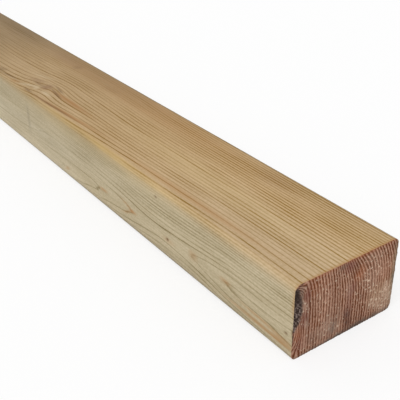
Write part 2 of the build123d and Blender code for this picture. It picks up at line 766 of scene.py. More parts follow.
# The rows are patches, each with its values in the order of the class above.
PATCHES: dict[Face, dict[Tint, Rows]] = {
    Face.TOP: {
        # The first yellow row is a painted highlight along the rounded arris at -Y.
        Tint.YELLOW: ((205, -33, 60, 2.5, 0.2), (110, -6, 90, 9, 0.22)),
        Tint.ORANGE: (
            (320, -30.5, 7, 1.6, 0.6, -12), (258, -17, 30, 2.4, 0.75), (240, -28.4, 45, 1.6, 0.7, -4),
            # The last orange row is a painted highlight line along the top edge of the near end.
            (95, -27, 60, 2.6, 0.45, -1), (240, 24, 120, 11, 0.4), (0, 0, 1.6, 60, 0.6),
        ),
        Tint.PURPLE: (
            (295.5, -17.5, 4.6, 4.6, 0.8), (312, -17, 9, 3, 0.4, -10), (342, 24, 24, 7, 0.18),
            (82, 24, 16, 6, 0.2),
        ),
        Tint.GREY: ((230, 33.9, 330, 1.8, 0.8),),
        Tint.PALE: (
            (284, -23.6, 7, 1.6, 0.9), (299, -24.5, 2.5, 2, 1.0), (307.5, -26, 10, 1.5, 1.5, -27),
            (316, -9.5, 10, 1.2, 0.5, -14), (272, 21, 12, 1.2, 0.15),
        ),
        Tint.DARK: (
            (280, -17.5, 11, 1.0, 0.7, 9), (284, -12.4, 8, 0.9, 0.6, 9), (305, -19, 6, 1.1, 0.6, -4),
            (262, -30.2, 30, 0.9, 0.5, -3), (299, -31, 6, 1.1, 0.6), (336, -29.5, 12, 1.1, 0.6, -8),
            (319, 21, 4, 3.5, 0.22), (262, 19, 12, 3, 0.1), (356, -31, 9, 4, 0.45, -30),
        ),
    },
    Face.SIDE: {
        # Both yellow rows are a painted highlight along the rounded top arris.
        Tint.YELLOW: ((150, 46, 120, 3.2, 0.4), (215, 44, 110, 9, 0.3)),
        Tint.ORANGE: (
            (53, 16.6, 4.5, 1.7, 0.6), (82, 17, 2.6, 3.2, 0.6), (147, 14.2, 4, 1.2, 0.8),
            (153, 16.4, 7, 0.8, 0.6, 15), (152.5, 11.6, 6.5, 0.9, 0.7, -24), (183, 13.3, 4.5, 1.2, 0.8),
            (235, 7.8, 3.5, 1.1, 0.7, -30), (22, 10.8, 18, 0.9, 0.7, 3), (28, 7.2, 24, 1.3, 0.65, 1),
            (6, 8, 9, 2.2, 0.6), (107, 14, 6, 1.8, 0.25), (0, 34, 1.8, 8, 0.6),
        ),
        # The second grey row is painted shade along the foot of the side face, by the floor.
        Tint.GREY: ((295, 24, 1.8, 12, 0.4), (150, 1.5, 300, 2.2, 0.5)),
        Tint.PALE: ((285, 11, 70, 9, 0.12),),
        Tint.DARK: (
            (4.8, 14.5, 1.3, 0.9, 0.85), (108, 14.2, 1.3, 1.0, 0.85), (119, 37.6, 1.3, 0.9, 0.65),
            (0, 17.5, 1.1, 3, 0.7),
        ),
    },
    Face.NEAR_END: {
        # The second yellow row, with a grey row below, paints the light and shade of the rounded +Y edge.
        Tint.YELLOW: ((25, 14, 8, 8, 0.35), (34.4, 24, 2.4, 22, 0.7), (29, 8, 6, 6, 0.2)),
        Tint.ORANGE: (
            (0, 45, 60, 1.6, 0.5), (8.5, 34, 4, 5, 0.5), (27, 28, 6, 8, 0.25), (-22, 38, 7, 5, 0.25),
            (-31, 14, 3, 4, 0.3),
        ),
        Tint.PURPLE: (
            (3, 27, 3.8, 5, 0.4), (2, 17, 4, 7, 0.25), (0.5, 41, 4.5, 3.5, 0.6), (-27, 36, 2, 5, 0.5),
            (-27.8, 23, 2.4, 7, 0.6), (-30, 8, 4, 5, 0.35),
        ),
        Tint.GREY: (
            (-31, 37.5, 1.8, 5, 0.75), (-30.5, 42.5, 3, 2.5, 0.15), (-8, 12, 7, 10, 0.3),
            (-7, 8, 4, 5, 0.3), (-17, 7, 8, 6, 0.36), (14, 0, 28, 2.8, 1.0), (-20, 0, 16, 1.8, 0.6),
            # The second grey row, with a yellow row above, paints the light and shade of the rounded +Y
            # edge.
            (30, 9, 5, 8, 0.35), (34.8, 22, 1.9, 24, 0.7), (-4, 43, 3, 2, 0.5),
        ),
        Tint.PALE: (
            (-28.5, 30, 4, 2.2, 0.45, -60), (-30, 34.6, 3, 0.6, 0.8, -55), (-26.4, 19, 1.2, 4, 0.5),
            (29, 9, 6, 8, 0.56), (28, 30, 6, 8, 0.2), (20, 18, 5, 6, 0.18), (10, 31, 4, 6, 0.08),
            (-9, 10, 6, 7, 0.06), (21, 10, 4, 4, 0.35), (30, 17, 3, 4, 0.35), (-14, 9, 5, 4, 0.32),
            (-4, 7, 2.5, 2.5, 0.3), (18, 29, 7, 8, 0.24), (18, 40, 8, 4, 0.2), (-19, 30, 4, 9, 0.15),
            (1, 28, 2.5, 7, 0.2),
        ),
        Tint.DARK: (
            # The second dark row is a painted shadow under the top edge, over the hollow.
            (-26, 24, 4.6, 22, 0.2), (-31.2, 44.3, 3.0, 0.7, 1.0, 30), (-16, 5, 7, 6, 0.05),
            (-7.5, 33, 4.6, 11, 0.1), (10.5, 17, 4.6, 7, 0.13), (20, 6, 7, 6, 0.14), (4, 0, 34, 1.1, 0.4),
            (32.5, 41, 2, 3.5, 0.4), (5.5, 37.5, 3, 4, 0.28), (2, 7, 3.6, 8, 0.65), (10, 5, 5, 6, 0.3),
            (-25.2, 26, 0.9, 14, 0.3), (-35, 14, 0.9, 5, 0.8),
        ),
    },
    Face.FAR_END: {
        Tint.YELLOW: ((-20, 30, 9, 9, 0.4),),
        Tint.GREY: ((0, 0, 60, 2.4, 0.7),),
        Tint.DARK: ((12, 20, 4, 12, 0.4),),
    },
}


def tinted(face: Face, tint: Tint, first: Array, second: Array) -> Array:
    """Adds up the patches of one tint on one face."""
    return total((Patch(*row) for row in PATCHES[face].get(tint, ())), first, second)


@dataclass(frozen=True)
class SkinMarks:
    """What shows on the planed faces: how light and golden they are, their tints and their lines.

    The shades darken from the top face's middle near the end, where the wood is lightest; one paints
    shade.
    """

    top_shades: tuple[Shade, ...] = (
        Shade(0.05, beside=(20, 30)),
        Shade(0.12, back=(110, 330)),
        Shade(0.22, back=(330, 440)),
        Shade(-0.154, back=(460, 760)),
        Shade(0.11, back=(150, 280), beside=(8, 24)),
        Shade(-0.04, back=(170, 80), band=(8, 8)),
        Shade(0.04, back=(140, 60), beside=(-8, -20)),
        Shade(0.04, back=(200, 280), band=(6, 7)),
    )
    side_shades: tuple[Shade, ...] = (
        Shade(0.11, back=(120, 200), beside=(34, 43)),
        # Painted shade low on the side face near the end, where it meets the floor.
        Shade(0.05, back=(220, 120), beside=(13, 5)),
        Shade(0.06, back=(130, 210), beside=(8, 24)),
        Shade(-0.04, back=(170, 110), beside=(18, 24)),
    )
    top_gold: tuple[Shade, ...] = (
        Shade(0.84, beside=(-8, 16)),
        Shade(0.7, back=(50, 220)),
        Shade(0.3, back=(340, 400)),
        Shade(0.18, back=(20, 80), beside=(-8, -18)),
        Shade(-0.18, back=(200, 260), beside=(-8, -18)),
    )
    side_gold: tuple[Shade, ...] = (Shade(0.4), Shade(-0.4, back=(190, 260), beside=(30, 18)))
    # Heights where the side face takes on the top's colour: a painted highlight along the top arris.
    side_highlight: Pair = (37.0, 44.0)
    side_highlight_share: float = 0.5
    top_lines: tuple[Shade, ...] = (Shade(0.56), Shade(0.08, beside=(5, 22)))
    top_fades: tuple[Shade, ...] = (
        Shade(0.12, back=(120, 220)),
        Shade(0.42, back=(150, 260), beside=(4, 20)),
    )
    knot_lines: tuple[Swell, ...] = (
        Swell(0.4, (266, -21), (30, 8)),
        Swell(0.25, (335, -26), (25, 7)),
    )
    side_lines: tuple[Shade, ...] = (Shade(0.3), Shade(-0.12, back=(130, 260)))
    loop_tip: Pair = (0.12, 0.03)
    loop_tip_fade: float = 0.15
    line_limits: Pair = (0.06, 1.4)

    def tone(self, places: Places) -> Array:
        """Works out how much light the planed faces send back, with painted shade low on the side face.

        Args:
            places: Where on the planed faces.

        Returns:
            A factor of about 1 at each point.
        """
        top = total(self.top_shades, places.back, places.across)
        side = total(self.side_shades, places.back, places.up)
        return 1 - top * places.facing_top() - side * places.facing_side()

    def warmth(self, places: Places) -> Array:
        """Gives the share of the golden cast, from 0 to 1.

        The top face is golden towards its far arris and away from the near end, and a little by its
        near arris. The side face is so a little everywhere but low down and far from the near end.

        Args:
            places: Where on the planed faces.

        Returns:
            The share at each point.
        """
        top = np.clip(total(self.top_gold, places.back, places.across), 0, 1)
        side = total(self.side_gold, places.back, places.up)
        return top * places.facing_top() + side * places.facing_side()

    def side_share(self, places: Places) -> Array:
        """Shows the share of the paler side face, cut by the top arris to paint a yellow highlight there.
        """
        yellow = self.side_highlight_share * soft_step(*self.side_highlight, places.up)
        return places.facing_side() ** 2 * (1 - yellow)

    def cover(self, tint: Tint, places: Places) -> Array:
        """Adds up a tint's patches on the top and the side face, which run on round the arris.

        Args:
            tint: Which tint.
            places: Where on the planed faces.

        Returns:
            The tint's strength at each point, from 0 to 1.
        """
        top = tinted(Face.TOP, tint, places.back, places.across) * places.facing_top()
        side = tinted(Face.SIDE, tint, places.back, places.up) * places.facing_side()
        return np.clip(top + side, 0, 1)

    def line_strength(self, places: Places, count: Array, closeness: Array) -> Array:
        """Shows how strongly the ring lines stand out.

        They fade along the plank, soonest by the top face's far arris. They are plainest beside the
        knot, softer at the tips of the loops, and a few single rings differ from the others.

        Args:
            places: Where on the planed faces.
            count: The ring count there.
            closeness: How many rings are cut for each millimetre.

        Returns:
            The strength of the lines at each point, from 0 to about 1.4.
        """
        back, across, up = places.back, places.across, places.up
        top = total(self.top_lines, back, across)
        for fade in self.top_fades:
            top = top * (1 - fade.over(back, across))
        top = top + total(self.knot_lines, back, across) + total(TOP_ACCENTS, back, count)
        side = total(self.side_lines, back, up) + total(SIDE_ACCENTS, back, count)
        side = side * (1 - self.loop_tip_fade * soft_step(*self.loop_tip, closeness))
        share = places.facing_side() ** 2
        return np.clip(top * (1 - share) + side * share, *self.line_limits)


@dataclass(frozen=True)
class EndMarks:
    """What shows on the sawn ends: their tints, and how plain the near end's rings are.

    The rings are fainter in the dense wood beside the hollow and in the smooth wood below that. They
    are plainer under the hollow and where the grain crosses.
    """

    gain: float = 1.14
    across_gain: Keys = (
        (-35, 0.8), (-25, 1.05), (-20, 0.82), (-12, 0.72), (-3, 0.82), (5, 1.18), (12, 1.38), (18, 1.2),
        (25, 1.04), (35, 1.1),
    )
    up_gain: Keys = ((0, 0.65), (12, 0.75), (24, 0.9), (36, 1.0), (45, 1.0))
    swells: tuple[Swell, ...] = (
        Swell(-0.35, (-29, 37), (3.2, 6.5), 4),
        Swell(-0.6, (-27.5, 9.5), (1.8, 5), 4),
        Swell(0.35, (-32, 9), (3.5, 7), 4),
        Swell(0.6, (9, 33), (6, 8)),
    )

    def strength(self, places: Places) -> Array:
        """Works out how plain the near end's rings are: one curve across times one upwards.

        Args:
            places: Where on the end.

        Returns:
            The strength at each point, of about 1.
        """
        across, up = places.across, places.up
        even = smooth_curve(self.across_gain, across) * smooth_curve(self.up_gain, up)
        return self.gain * even * (1 + total(self.swells, across, up))

    def cover(self, tint: Tint, places: Places, on_near: Array) -> Array:
        """Adds up a tint's patches on whichever end each point belongs to.

        Args:
            tint: Which tint.
            places: Where on the ends.
            on_near: Whether each point belongs to the near end.

        Returns:
            The tint's strength at each point, from 0 to 1.
        """
        near, far = (
            tinted(face, tint, places.across, places.up) for face in (Face.NEAR_END, Face.FAR_END)
        )
        return np.clip(np.where(on_near, near, far), 0, 1)


@dataclass
class Timber:
    """The plank itself: one closed surface with a fine net on the ends and long strips between."""

    section: Section
    length: float
    near_x: float
    growth: Growth
    hollow: EndHollow
    net_across: int = 200
    net_up: int = 128
    ridge: float = 0.22
    fuzz: float = 0.14
    fine_share: float = 0.7
    coarse_fuzz: Pair = (1.1, 2.6)
    fine_fuzz: Pair = (0.7, 0.9)
    saw_mark: float = 0.08
    saw_rate: float = 2.1
    saw_slant: Pair = (0.5, 0.85)
    saw_wander: Pair = (9.0, 9.0)
    raised_grain: float = 0.05
    planer_wave: float = 0.03
    planer_size: Pair = (14.0, 16.0)
    speck_depth: float = 0.3
    calm_edge: float = 3.0
    line_width: float = 1.25
    line_shares: Pair = (0.12, 0.65)
    seen: float = 365.0
    widest: float = 38.0
    specks_at: tuple[float, ...] = (5.0, 108.0, 119.0)
    skin: SkinMarks = SkinMarks()
    end: EndMarks = EndMarks()
    grain_ripple: Ripple = Ripple(seed=5)
    end_ripple: Ripple = Ripple(seed=7)

    def stations(self) -> Array:
        """Spaces the cross-sections along the plank, closer where there is more to see.

        Formula: the wanted spacing at each tenth of a millimetre is the least of a few straight rises
        from the stretches of interest, and the stations divide the sum of its inverse evenly.

        Returns:
            Distances back from the near end, between the two ends.
        """
        knot_back = self.growth.knot.back
        stretches = (
            (0, self.seen, 3.6, 0.1),
            (0, 0, 0.4, 0.14),
            (self.length, self.length, 0.8, 0.2),
            (knot_back, knot_back, 1.8, 0.08),
            *((speck, speck, 0.7, 0.4) for speck in self.specks_at),
        )
        back = np.linspace(0, self.length, round(self.length * 10) + 1)
        wanted = np.full_like(back, self.widest)
        for start, stop, spacing, rise in stretches:
            outside = np.maximum(np.maximum(start - back, back - stop), 0)
            wanted = np.minimum(wanted, spacing + rise * outside)
        passed = np.concatenate([[0], np.cumsum((1 / wanted[1:] + 1 / wanted[:-1]) / 2 * np.diff(back))])
        rows = int(passed[-1])
        return np.interp(np.arange(1, rows) * passed[-1] / rows, passed, back)

    def net(self, across_cells: int, up_cells: int) -> tuple[Array, Array]:
        """Lays an even net over the section, row by row upwards.

        Args:
            across_cells: How many cells it has across.
            up_cells: How many cells it has upwards.

        Returns:
            The places across and up of its points.
        """
        left_right, down_up = np.meshgrid(
            np.linspace(-1, 1, across_cells + 1), np.linspace(-1, 1, up_cells + 1)
        )
        across, up = self.section.place(left_right, down_up)
        return across.ravel(), up.ravel()

    @staticmethod
    def rim(across_cells: int, up_cells: int) -> Array:
        """Walks the outline of a net and lists its points, bottom row first, then up, over and down."""
        index = np.arange((across_cells + 1) * (up_cells + 1)).reshape(up_cells + 1, across_cells + 1)
        return np.concatenate([index[0, :-1], index[:-1, -1], index[-1, :0:-1], index[:0:-1, 0]])

    @staticmethod
    def net_faces(across_cells: int, up_cells: int) -> Array:
        """Lists the four-cornered faces of a net, turned to look along +X.

        Args:
            across_cells: How many cells it has across.
            up_cells: How many cells it has upwards.

        Returns:
            The points of each face, four to a row.
        """
        index = np.arange((across_cells + 1) * (up_cells + 1)).reshape(up_cells + 1, across_cells + 1)
        corners = (index[:-1, :-1], index[:-1, 1:], index[1:, 1:], index[1:, :-1])
        return np.stack([corner.ravel() for corner in corners], axis=1)

    def end_sink(self, across: Array, up: Array, count: Array) -> Array:
        """Works out the relief of a sawn end.

        Formula: the soft summer wood is torn a little deeper than the hard winter wood, a coarse and a
        fine ripple roughen both, and the saw leaves slanting waves.

        Args:
            across: Places across the end.
            up: Places up the end.
            count: The ring count there.

        Returns:
            How far each place lies inside the plane of the end.
        """
        ripple = self.end_ripple
        torn = self.ridge * (1 - winter_wood(count))
        rough = ripple.sized(self.coarse_fuzz, across, up)
        rough = rough + self.fine_share * ripple.sized(self.fine_fuzz, across, up)
        most = 1 + self.fine_share
        along_saw = across * self.saw_slant[0] + up * self.saw_slant[1]
        wander = ripple.sized(self.saw_wander, across, up)
        waves = 0.5 + 0.5 * np.sin(along_saw * self.saw_rate + wander)
        return torn + self.fuzz * (rough + most) / (2 * most) + self.saw_mark * waves

    def skin_sink(self, places: Places, count: Array) -> Array:
        """Works out the slight relief of the planed faces.

        Formula: winter wood stands proud of summer wood, the planer leaves a long low wave, and a knot
        or a speck lies lower than the wood around it. All of it dies away at the sawn edges.

        Args:
            places: Where on the planed faces.
            count: The ring count there.

        Returns:
            How far each place lies inside the planed faces.
        """
        grain = self.raised_grain * (1 - winter_wood(count))
        ripple = self.grain_ripple.sized(self.planer_size, places.back, places.across + places.up)
        wave = self.planer_wave * (1 + ripple) / 2
        specks = self.speck_depth * self.skin.cover(Tint.DARK, places)
        edge = soft_step(0, self.calm_edge, np.minimum(places.back, self.length - places.back))
        return (grain + wave + specks) * edge

    def build(self, name: str) -> bpy.types.Object:
        """Makes the plank's mesh: the near end's net, the strips along it, and the far end's net.

        The near net is twice as fine as the strips, so a row of triangles joins its outline to the
        first strip. The far net shares the last strip's points, and every seam is closed.

        Args:
            name: The piece's name.

        Returns:
            The finished object, in metres.
        """
        fine = (self.net_across, self.net_up)
        coarse = (self.net_across // 2, self.net_up // 2)
        near_across, near_up = self.net(*fine)
        far_across, far_up = self.net(*coarse)
        walk = self.rim(*coarse)
        rows = self.stations()
        around = len(walk)
        log.info("%d stations of %d points", len(rows), around)

        back = np.repeat(rows, around)
        across = np.tile(far_across[walk], len(rows))
        up = np.tile(far_up[walk], len(rows))
        count = self.growth.count(back, across, up)
        out_across, out_up = self.section.outward(across, up)
        sink = self.skin_sink(Places(self.section, back, across, up), count)

        near_count = self.growth.on_near_end(near_across, near_up)
        far_count = self.growth.count(np.full_like(far_across, self.length), far_across, far_up)
        near_sink = self.end_sink(near_across, near_up, near_count)
        near_sink = near_sink + self.hollow.depth_at(near_across, near_up)
        far_sink = self.end_sink(far_across, far_up, far_count)
        near_back = near_sink - near_sink.min()
        far_back = self.length - (far_sink - far_sink.min())
        place_back = np.concatenate([near_back, back, far_back])
        place_across = np.concatenate([near_across, across - out_across * sink, far_across])
        place_up = np.concatenate([near_up, up - out_up * sink, far_up])
        points = np.stack([self.near_x - place_back, place_across, place_up], axis=1) * MM

        first = len(near_across)
        last = first + len(back)
        rings = np.concatenate(
            [np.arange(first, last).reshape(len(rows), around), (last + walk).reshape(1, around)]
        )
        after = np.roll(rings, -1, axis=1)
        strips = np.stack([rings[:-1], rings[1:], after[1:], after[:-1]], axis=-1).reshape(-1, 4)
        near_quads = self.net_faces(*fine)
        far_quads = last + self.net_faces(*coarse)[:, ::-1]

        edge = self.rim(*fine)
        start, middle, end = edge[::2], edge[1::2], np.roll(edge, -2)[::2]
        seam = np.concatenate(
            [
                np.stack([start, rings[0], middle], axis=1),
                np.stack([middle, rings[0], after[0]], axis=1),
                np.stack([middle, after[0], end], axis=1),
            ]
        )

        mesh = bpy.data.meshes.new(name)
        quads = np.concatenate([near_quads, far_quads, strips])
        mesh.from_pydata(points, [], quads.tolist() + seam.tolist())
        sawn = np.zeros(len(mesh.polygons), dtype=np.int32)
        sawn[: len(near_quads) + len(far_quads)] = 1
        mesh.polygons.foreach_set("material_index", sawn)
        mesh.polygons.foreach_set("use_smooth", np.ones(len(mesh.polygons), dtype=bool))
        self.sharpen(mesh, edge, last + walk)

        places = Places(
            self.section,
            np.concatenate([np.zeros(first), back, np.full(len(far_across), self.length)]),
            np.concatenate([near_across, across, far_across]),
            np.concatenate([near_up, up, far_up]),
        )
        self.carry(mesh, places, first)
        mesh.update()
        plank = bpy.data.objects.new(name, mesh)
        bpy.context.scene.collection.objects.link(plank)
        return plank

    @staticmethod
    def sharpen(mesh: bpy.types.Mesh, *outlines: Array) -> None:
        """Marks the sawn edges as sharp, so that the ends and the long faces shade apart.

        Args:
            mesh: The plank's mesh.
            outlines: The points of each sawn edge.
        """
        on_outline = np.zeros(len(mesh.vertices), dtype=bool)
        on_outline[np.concatenate(outlines)] = True
        ends = np.empty(len(mesh.edges) * 2, dtype=np.int32)
        mesh.edges.foreach_get("vertices", ends)
        sharp = on_outline[ends].reshape(-1, 2).all(axis=1)
        mesh.edges.foreach_set("use_edge_sharp", sharp)

    def carry(self, mesh: bpy.types.Mesh, places: Places, near: int) -> None:
        """Writes what the materials read from the surface: ring counts, tints, tone and rot.

        The planed faces and the sawn ends read values of their own, because they meet at a sharp edge.

        Args:
            mesh: The plank's mesh.
            places: Where each of its points lies.
            near: How many of the points, from the first on, belong to the near end's net.
        """
        back, across, up = places.back, places.across, places.up
        on_near = np.arange(len(back)) < near
        count = self.growth.count(back, across, up)
        closeness = self.growth.closeness(back, across, up)
        rot = self.hollow.rot_at(across, up) * on_near
        carried = {
            "ring_count": count,
            "end_count": np.where(on_near, self.growth.on_near_end(across, up), count),
            "side_share": self.skin.side_share(places),
            "line_share": np.clip(self.line_width * closeness, *self.line_shares),
            "line_strength": self.skin.line_strength(places, count, closeness),
            "end_strength": self.end.strength(places),
            "tone": self.skin.tone(places),
            "warmth": self.skin.warmth(places),
            "rot": rot,
            "crumbs": rot * self.hollow.crumbs_at(up),
        }
        for tint in Tint:
            carried[f"skin_{tint.value}"] = self.skin.cover(tint, places)
            carried[f"end_{tint.value}"] = self.end.cover(tint, places, on_near)
        for name, values in carried.items():
            held = mesh.attributes.new(name, "FLOAT", "POINT")
            held.data.foreach_set("value", values.astype(np.float32))


Socket = bpy.types.NodeSocket
Sockets = bpy.types.bpy_prop_collection
Value = Socket | float | Colour
PLACE = "NodeSocketVector"
NUMBER = "NodeSocketFloat"
# The ranges in which most of a noise's values lie, and nearly all of them.
MOST: Pair = (0.3, 0.7)
NEARLY_ALL: Pair = (0.25, 0.75)


class Bench:
    """Lays out one node tree, feeding each new node from the sockets or values that it is given."""

    def __init__(self, tree: bpy.types.NodeTree) -> None:
        """Empties the tree, ready for its nodes."""
        self.tree = tree
        tree.nodes.clear()

    def node(self, kind: str, feeds: dict | None = None, **settings: str) -> bpy.types.Node:
        """Adds a node.

        Args:
            kind: Blender's name for the type of node.
            feeds: What goes into its inputs, by number or name.
            settings: Values for the node's own options.

        Returns:
            The new node.
        """
        made = self.tree.nodes.new(kind)
        for option, value in settings.items():
            setattr(made, option, value)
        for key, value in (feeds or {}).items():
            if isinstance(value, Socket):
                self.tree.links.new(value, made.inputs[key])
            else:
                made.inputs[key].default_value = value
        return made

    def math(self, operation: str, *terms: Value) -> Socket:
        """Adds one sum, product or other step of arithmetic and gives its result."""
        return self.node("ShaderNodeMath", dict(enumerate(terms)), operation=operation).outputs[0]

    def times(self, first: Value, second: Value) -> Socket:
        """Multiplies two numbers."""
        return self.math("MULTIPLY", first, second)

    def plus(self, first: Value, second: Value) -> Socket:
        """Adds two numbers."""
        return self.math("ADD", first, second)

    def minus(self, first: Value, second: Value) -> Socket:
        """Takes the second number from the first."""
        return self.math("SUBTRACT", first, second)

    def mix(self, share: Value, first: Value, second: Value, mode: str = "MIX") -> Socket:
        """Blends two colours.

        Args:
            share: How much of the second colour, from 0 to 1.
            first: The colour at 0.
            second: The colour at 1.
            mode: The way in which they are blended.

        Returns:
            The blended colour.
        """
        feeds = {0: share, 6: first, 7: second}
        return self.node("ShaderNodeMix", feeds, data_type="RGBA", blend_type=mode).outputs[2]

    def lerp(self, share: Value, first: Value, second: Value) -> Socket:
        """Blends two numbers."""
        return self.node("ShaderNodeMix", {0: share, 2: first, 3: second}, data_type="FLOAT").outputs[0]

    def ramp(self, value: Value, low: Value, high: Value) -> Socket:
        """Rises smoothly from 0 where the value is low to 1 where it is high."""
        feeds = {"Value": value, "From Min": low, "From Max": high}
        return self.node("ShaderNodeMapRange", feeds, interpolation_type="SMOOTHSTEP").outputs["Result"]

    def carried(self, name: str) -> Socket:
        """Reads a number that the surface carries under this name."""
        return self.node("ShaderNodeAttribute", attribute_name=name).outputs["Fac"]

    def place(self) -> Socket:
        """Finds the place on the piece.

        Returns:
            The place along X, Y and Z, in millimetres.
        """
        where = self.node("ShaderNodeTexCoord").outputs["Object"]
        feeds = {"Vector": where, "Scale": (PER_MM, PER_MM, PER_MM)}
        return self.node("ShaderNodeMapping", feeds).outputs[0]

    def noise(self, where: Value, size: Triple, detail: float = 2.0) -> Socket:
        """Adds noise whose blobs have about this size along X, Y and Z.

        Args:
            where: The place, in millimetres.
            size: The blobs' size along each axis, in millimetres.
            detail: How many finer layers are added.

        Returns:
            A value of about 0.5, more or less.
        """
        scale = tuple(1 / part for part in size)
        spread = self.node("ShaderNodeMapping", {"Vector": where, "Scale": scale}).outputs[0]
        feeds = {"Vector": spread, "Scale": 1.0, "Detail": detail}
        return self.node("ShaderNodeTexNoise", feeds).outputs["Fac"]


class Effect:
    """A part of a material that is kept as a node group."""

    name: str = ""
    takes: dict[str, str] = {}
    gives: dict[str, str] = {}

    def __init__(self) -> None:
        """Makes the group with its named inputs and outputs, and lays out its inside."""
        self.tree = bpy.data.node_groups.new(self.name, "ShaderNodeTree")
        for label, kind in self.takes.items():
            self.tree.interface.new_socket(name=label, in_out="INPUT", socket_type=kind)
        for label, kind in self.gives.items():
            self.tree.interface.new_socket(name=label, in_out="OUTPUT", socket_type=kind)
        bench = Bench(self.tree)
        entry = bench.node("NodeGroupInput")
        leaving = bench.node("NodeGroupOutput")
        self.lay_out(bench, entry.outputs, leaving.inputs)

    def lay_out(self, bench: Bench, entry: Sockets, leaving: Sockets) -> None:
        """Fills the group. Each effect says how."""
        raise NotImplementedError

    def use(self, bench: Bench, feeds: dict[str, Value]) -> Sockets:
        """Places the group in a material.

        Args:
            bench: The material's node bench.
            feeds: What goes into the group's inputs, by name.

        Returns:
            The group's outputs.
        """
        placed = bench.node("ShaderNodeGroup")
        placed.node_tree = self.tree
        for label, value in feeds.items():
            if isinstance(value, Socket):
                bench.tree.links.new(value, placed.inputs[label])
            else:
                placed.inputs[label].default_value = value
        return placed.outputs


class RingLines(Effect):
    """Turns the ring count into winter wood, a tone for each ring and slow bands over many rings."""

    name = "ring lines"
    takes = {"Place": PLACE, "Count": NUMBER, "Waver": NUMBER, "Line share": NUMBER}
    gives = {"Winter": NUMBER, "Tone": NUMBER, "Band": NUMBER}
    wander_size: Triple = (60.0, 1.6, 1.6)
    darkest_from: float = 0.45
    darkest_until: float = 0.12
    band_rate: float = 0.28

    def lay_out(self, bench: Bench, entry: Sockets, leaving: Sockets) -> None:
        """Each ring ends in a dark line that takes up the line share: it rises softly and ends at once.

        Args:
            bench: Where the nodes are laid out.
            entry: The group's inputs.
            leaving: The group's outputs.
        """
        wander = bench.minus(bench.noise(entry["Place"], self.wander_size, 3.0), 0.5)
        count = bench.plus(entry["Count"], bench.times(wander, entry["Waver"]))
        passed = bench.math("FRACT", count)
        width = entry["Line share"]
        start = bench.minus(1.0, width)
        full = bench.minus(1.0, bench.times(width, self.darkest_from))
        fall = bench.minus(1.0, bench.times(width, self.darkest_until))
        rise = bench.ramp(passed, start, full)
        winter = bench.times(rise, bench.minus(1.0, bench.ramp(passed, fall, 1.0)))
        number = bench.math("FLOOR", count)
        tone = bench.node("ShaderNodeTexWhiteNoise", {"W": number}, noise_dimensions="1D").outputs["Value"]
        slow = {"W": bench.times(count, self.band_rate), "Scale": 1.0, "Detail": 1.0}
        band = bench.node("ShaderNodeTexNoise", slow, noise_dimensions="1D").outputs["Fac"]
        bench.tree.links.new(winter, leaving["Winter"])
        bench.tree.links.new(tone, leaving["Tone"])
        bench.tree.links.new(bench.ramp(band, *MOST), leaving["Band"])


class Fibre(Effect):
    """The fine streaks, pores and fuzz of the wood."""

    name = "fibre"
    takes = {"Place": PLACE}
    gives = {"Streak": NUMBER, "Blotch": NUMBER, "Fuzz": NUMBER}
    streak_size: Triple = (26.0, 0.8, 0.8)
    blotch_size: Triple = (60.0, 9.0, 9.0)
    fuzz_size: Triple = (1.8, 0.9, 0.9)

    def lay_out(self, bench: Bench, entry: Sockets, leaving: Sockets) -> None:
        """Long thin noise makes the streaks, large soft noise the blotches, and small noise the fuzz.

        Args:
            bench: Where the nodes are laid out.
            entry: The group's inputs.
            leaving: The group's outputs.
        """
        streak = bench.noise(entry["Place"], self.streak_size, 3.0)
        blotch = bench.noise(entry["Place"], self.blotch_size)
        fuzz = bench.noise(entry["Place"], self.fuzz_size, 1.0)
        bench.tree.links.new(bench.ramp(streak, *MOST), leaving["Streak"])
        bench.tree.links.new(bench.ramp(blotch, *MOST), leaving["Blotch"])
        bench.tree.links.new(bench.ramp(fuzz, *NEARLY_ALL), leaving["Fuzz"])


@dataclass(frozen=True)
class Casts:
    """The colour of each tint, which in places paints shade and highlight on the wood."""

    orange: Colour
    yellow: Colour
    pale: Colour
    purple: Colour
    grey: Colour
    dark: Colour

    def lay_over(self, bench: Bench, region: str, wood: Value, broken: Value) -> Socket:
        """Lays each tint over the wood's colour, as far as the surface carries it.

        Args:
            bench: The material's node bench.
            region: Which of the carried tints are read, "skin" or "end".
            wood: The colour of the bare wood.
            broken: Unevenness that frays the tints' edges, of about 1.

        Returns:
            The tinted colour.
        """
        layers = (
            (Tint.YELLOW, self.yellow), (Tint.ORANGE, self.orange), (Tint.PURPLE, self.purple),
            (Tint.GREY, self.grey), (Tint.PALE, self.pale), (Tint.DARK, self.dark),
        )
        for tint, colour in layers:
            share = bench.times(bench.carried(f"{region}_{tint.value}"), broken)
            wood = bench.mix(share, wood, colour)
        return wood


